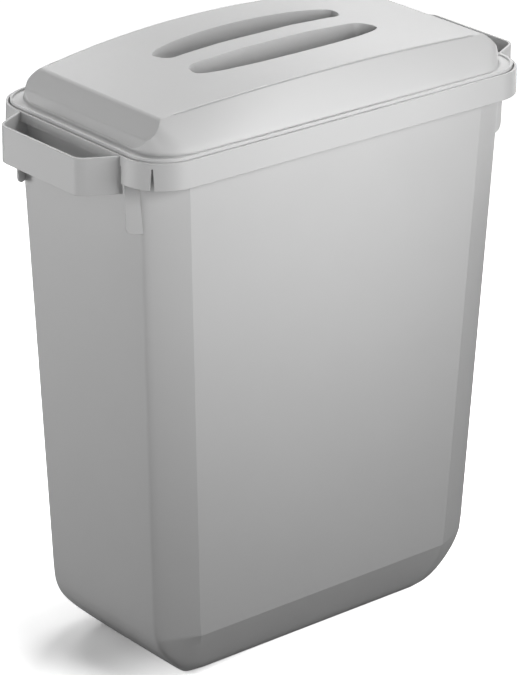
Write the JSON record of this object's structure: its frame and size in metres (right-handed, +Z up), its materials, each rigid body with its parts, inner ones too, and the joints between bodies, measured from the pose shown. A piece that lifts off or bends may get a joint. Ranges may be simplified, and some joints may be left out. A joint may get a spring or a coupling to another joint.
{
  "type": "waste bin",
  "caption": "Free-standing rectangular plastic waste bin with tapering walls, a carrying handle at each end and a domed lift-off lid with grip pockets.",
  "frame": {"origin": "middle of the flat base, at floor level", "axes": "+X along the bin towards one handle, +Y across it, +Z up"},
  "size_m": [0.5842, 0.2766, 0.6592],
  "materials": {
    "tub_plastic": "fine satin",
    "lid_plastic": "fine satin"
  },
  "bodies": {
    "tub_body": {"tub": "tub_plastic"},
    "lid_body": {"lid": "lid_plastic"}
  },
  "joints": [
    {"name": "lid_lift", "type": "slide", "parent": "tub_body", "child": "lid_body", "axis": [0, 0, 1], "range_m": [0, 0.15]}
  ]
}
